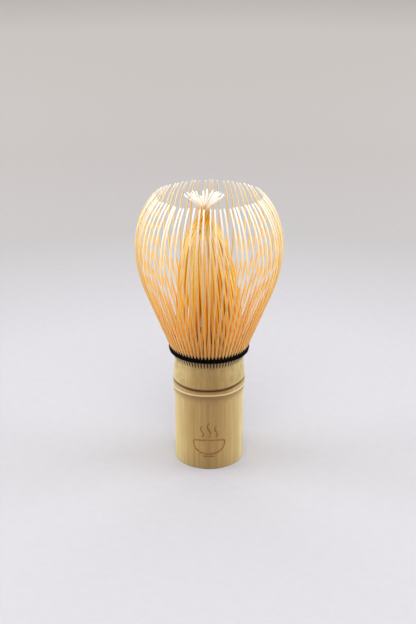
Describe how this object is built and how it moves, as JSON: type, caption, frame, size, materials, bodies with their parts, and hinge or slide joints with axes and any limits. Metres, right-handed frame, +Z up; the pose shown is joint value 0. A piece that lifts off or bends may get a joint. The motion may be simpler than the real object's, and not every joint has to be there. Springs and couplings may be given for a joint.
{
  "type": "bamboo tea whisk",
  "caption": "Bamboo tea whisk: one culm forms the handle and an outer cage and an inner bundle of springy split tines, bound apart with dark cotton thread.",
  "frame": {"origin": "centre of the handle's foot, on the face that the whisk stands on", "axes": "+Z up along the culm's axis towards the tips of the tines; -Y is the front"},
  "size_m": [0.0568, 0.0568, 0.11],
  "materials": {
    "bamboo_skin": "dried, polished culm skin with fine lengthwise grain, satin",
    "outer_bamboo": "split and shaved bamboo, honey at the root and cream at the tip, satin",
    "inner_bamboo": "split bamboo flesh, golden at the root and cream at the tip, satin",
    "cotton_thread": "twisted black cotton thread, matt"
  },
  "bodies": {
    "handle_body": {"handle": "bamboo_skin", "thread_lower_turn": "cotton_thread", "thread_upper_turn": "cotton_thread", "thread_weave": "cotton_thread", "thread_loops": "cotton_thread", "thread_knot": "cotton_thread"},
    "outer_set_01": {"outer_tines_01": "outer_bamboo"},
    "outer_set_02": {"outer_tines_02": "outer_bamboo"},
    "outer_set_03": {"outer_tines_03": "outer_bamboo"},
    "outer_set_04": {"outer_tines_04": "outer_bamboo"},
    "outer_set_05": {"outer_tines_05": "outer_bamboo"},
    "outer_set_06": {"outer_tines_06": "outer_bamboo"},
    "outer_set_07": {"outer_tines_07": "outer_bamboo"},
    "outer_set_08": {"outer_tines_08": "outer_bamboo"},
    "outer_set_09": {"outer_tines_09": "outer_bamboo"},
    "outer_set_10": {"outer_tines_10": "outer_bamboo"},
    "outer_set_11": {"outer_tines_11": "outer_bamboo"},
    "outer_set_12": {"outer_tines_12": "outer_bamboo"},
    "outer_set_13": {"outer_tines_13": "outer_bamboo"},
    "outer_set_14": {"outer_tines_14": "outer_bamboo"},
    "outer_set_15": {"outer_tines_15": "outer_bamboo"},
    "outer_set_16": {"outer_tines_16": "outer_bamboo"},
    "outer_set_17": {"outer_tines_17": "outer_bamboo"},
    "outer_set_18": {"outer_tines_18": "outer_bamboo"},
    "outer_set_19": {"outer_tines_19": "outer_bamboo"},
    "outer_set_20": {"outer_tines_20": "outer_bamboo"},
    "outer_set_21": {"outer_tines_21": "outer_bamboo"},
    "outer_set_22": {"outer_tines_22": "outer_bamboo"},
    "outer_set_23": {"outer_tines_23": "outer_bamboo"},
    "outer_set_24": {"outer_tines_24": "outer_bamboo"},
    "inner_set_1": {"inner_tines_01": "inner_bamboo", "inner_tines_02": "inner_bamboo", "inner_tines_03": "inner_bamboo"},
    "inner_set_2": {"inner_tines_04": "inner_bamboo", "inner_tines_05": "inner_bamboo", "inner_tines_06": "inner_bamboo"},
    "inner_set_3": {"inner_tines_07": "inner_bamboo", "inner_tines_08": "inner_bamboo", "inner_tines_09": "inner_bamboo"},
    "inner_set_4": {"inner_tines_10": "inner_bamboo", "inner_tines_11": "inner_bamboo", "inner_tines_12": "inner_bamboo"}
  },
  "joints": [
    {"name": "outer_flex_01", "type": "hinge", "parent": "handle_body", "child": "outer_set_01", "pos_m": [0.0153, 0, 0.0491], "axis": [0, 1, 0], "range_deg": [-4, 8], "stiffness_Nm_per_rad": 0.006},
    {"name": "outer_flex_02", "type": "hinge", "parent": "handle_body", "child": "outer_set_02", "pos_m": [0.01478, 0.00396, 0.0491], "axis": [-0.2588, 0.9659, 0], "range_deg": [-4, 8], "stiffness_Nm_per_rad": 0.006},
    {"name": "outer_flex_03", "type": "hinge", "parent": "handle_body", "child": "outer_set_03", "pos_m": [0.01325, 0.00765, 0.0491], "axis": [-0.5, 0.866, 0], "range_deg": [-4, 8], "stiffness_Nm_per_rad": 0.006},
    {"name": "outer_flex_04", "type": "hinge", "parent": "handle_body", "child": "outer_set_04", "pos_m": [0.01082, 0.01082, 0.0491], "axis": [-0.7071, 0.7071, 0], "range_deg": [-4, 8], "stiffness_Nm_per_rad": 0.006},
    {"name": "outer_flex_05", "type": "hinge", "parent": "handle_body", "child": "outer_set_05", "pos_m": [0.00765, 0.01325, 0.0491], "axis": [-0.866, 0.5, 0], "range_deg": [-4, 8], "stiffness_Nm_per_rad": 0.006},
    {"name": "outer_flex_06", "type": "hinge", "parent": "handle_body", "child": "outer_set_06", "pos_m": [0.00396, 0.01478, 0.0491], "axis": [-0.9659, 0.2588, 0], "range_deg": [-4, 8], "stiffness_Nm_per_rad": 0.006},
    {"name": "outer_flex_07", "type": "hinge", "parent": "handle_body", "child": "outer_set_07", "pos_m": [0, 0.0153, 0.0491], "axis": [-1, 0, 0], "range_deg": [-4, 8], "stiffness_Nm_per_rad": 0.006},
    {"name": "outer_flex_08", "type": "hinge", "parent": "handle_body", "child": "outer_set_08", "pos_m": [-0.00396, 0.01478, 0.0491], "axis": [-0.9659, -0.2588, 0], "range_deg": [-4, 8], "stiffness_Nm_per_rad": 0.006},
    {"name": "outer_flex_09", "type": "hinge", "parent": "handle_body", "child": "outer_set_09", "pos_m": [-0.00765, 0.01325, 0.0491], "axis": [-0.866, -0.5, 0], "range_deg": [-4, 8], "stiffness_Nm_per_rad": 0.006},
    {"name": "outer_flex_10", "type": "hinge", "parent": "handle_body", "child": "outer_set_10", "pos_m": [-0.01082, 0.01082, 0.0491], "axis": [-0.7071, -0.7071, 0], "range_deg": [-4, 8], "stiffness_Nm_per_rad": 0.006},
    {"name": "outer_flex_11", "type": "hinge", "parent": "handle_body", "child": "outer_set_11", "pos_m": [-0.01325, 0.00765, 0.0491], "axis": [-0.5, -0.866, 0], "range_deg": [-4, 8], "stiffness_Nm_per_rad": 0.006},
    {"name": "outer_flex_12", "type": "hinge", "parent": "handle_body", "child": "outer_set_12", "pos_m": [-0.01478, 0.00396, 0.0491], "axis": [-0.2588, -0.9659, 0], "range_deg": [-4, 8], "stiffness_Nm_per_rad": 0.006},
    {"name": "outer_flex_13", "type": "hinge", "parent": "handle_body", "child": "outer_set_13", "pos_m": [-0.0153, 0, 0.0491], "axis": [0, -1, 0], "range_deg": [-4, 8], "stiffness_Nm_per_rad": 0.006},
    {"name": "outer_flex_14", "type": "hinge", "parent": "handle_body", "child": "outer_set_14", "pos_m": [-0.01478, -0.00396, 0.0491], "axis": [0.2588, -0.9659, 0], "range_deg": [-4, 8], "stiffness_Nm_per_rad": 0.006},
    {"name": "outer_flex_15", "type": "hinge", "parent": "handle_body", "child": "outer_set_15", "pos_m": [-0.01325, -0.00765, 0.0491], "axis": [0.5, -0.866, 0], "range_deg": [-4, 8], "stiffness_Nm_per_rad": 0.006},
    {"name": "outer_flex_16", "type": "hinge", "parent": "handle_body", "child": "outer_set_16", "pos_m": [-0.01082, -0.01082, 0.0491], "axis": [0.7071, -0.7071, 0], "range_deg": [-4, 8], "stiffness_Nm_per_rad": 0.006},
    {"name": "outer_flex_17", "type": "hinge", "parent": "handle_body", "child": "outer_set_17", "pos_m": [-0.00765, -0.01325, 0.0491], "axis": [0.866, -0.5, 0], "range_deg": [-4, 8], "stiffness_Nm_per_rad": 0.006},
    {"name": "outer_flex_18", "type": "hinge", "parent": "handle_body", "child": "outer_set_18", "pos_m": [-0.00396, -0.01478, 0.0491], "axis": [0.9659, -0.2588, 0], "range_deg": [-4, 8], "stiffness_Nm_per_rad": 0.006},
    {"name": "outer_flex_19", "type": "hinge", "parent": "handle_body", "child": "outer_set_19", "pos_m": [0, -0.0153, 0.0491], "axis": [1, 0, 0], "range_deg": [-4, 8], "stiffness_Nm_per_rad": 0.006},
    {"name": "outer_flex_20", "type": "hinge", "parent": "handle_body", "child": "outer_set_20", "pos_m": [0.00396, -0.01478, 0.0491], "axis": [0.9659, 0.2588, 0], "range_deg": [-4, 8], "stiffness_Nm_per_rad": 0.006},
    {"name": "outer_flex_21", "type": "hinge", "parent": "handle_body", "child": "outer_set_21", "pos_m": [0.00765, -0.01325, 0.0491], "axis": [0.866, 0.5, 0], "range_deg": [-4, 8], "stiffness_Nm_per_rad": 0.006},
    {"name": "outer_flex_22", "type": "hinge", "parent": "handle_body", "child": "outer_set_22", "pos_m": [0.01082, -0.01082, 0.0491], "axis": [0.7071, 0.7071, 0], "range_deg": [-4, 8], "stiffness_Nm_per_rad": 0.006},
    {"name": "outer_flex_23", "type": "hinge", "parent": "handle_body", "child": "outer_set_23", "pos_m": [0.01325, -0.00765, 0.0491], "axis": [0.5, 0.866, 0], "range_deg": [-4, 8], "stiffness_Nm_per_rad": 0.006},
    {"name": "outer_flex_24", "type": "hinge", "parent": "handle_body", "child": "outer_set_24", "pos_m": [0.01478, -0.00396, 0.0491], "axis": [0.2588, 0.9659, 0], "range_deg": [-4, 8], "stiffness_Nm_per_rad": 0.006},
    {"name": "inner_flex_1", "type": "hinge", "parent": "handle_body", "child": "inner_set_1", "pos_m": [0.00909, 0.00909, 0.0491], "axis": [-0.7071, 0.7071, 0], "range_deg": [0, 4], "stiffness_Nm_per_rad": 0.02},
    {"name": "inner_flex_2", "type": "hinge", "parent": "handle_body", "child": "inner_set_2", "pos_m": [-0.00909, 0.00909, 0.0491], "axis": [-0.7071, -0.7071, 0], "range_deg": [0, 4], "stiffness_Nm_per_rad": 0.02},
    {"name": "inner_flex_3", "type": "hinge", "parent": "handle_body", "child": "inner_set_3", "pos_m": [-0.00909, -0.00909, 0.0491], "axis": [0.7071, -0.7071, 0], "range_deg": [0, 4], "stiffness_Nm_per_rad": 0.02},
    {"name": "inner_flex_4", "type": "hinge", "parent": "handle_body", "child": "inner_set_4", "pos_m": [0.00909, -0.00909, 0.0491], "axis": [0.7071, 0.7071, 0], "range_deg": [0, 4], "stiffness_Nm_per_rad": 0.02}
  ],
  "couplings": [
    {"joint": "inner_flex_2", "follows": "inner_flex_1", "ratio": 1},
    {"joint": "inner_flex_3", "follows": "inner_flex_1", "ratio": 1},
    {"joint": "inner_flex_4", "follows": "inner_flex_1", "ratio": 1}
  ]
}
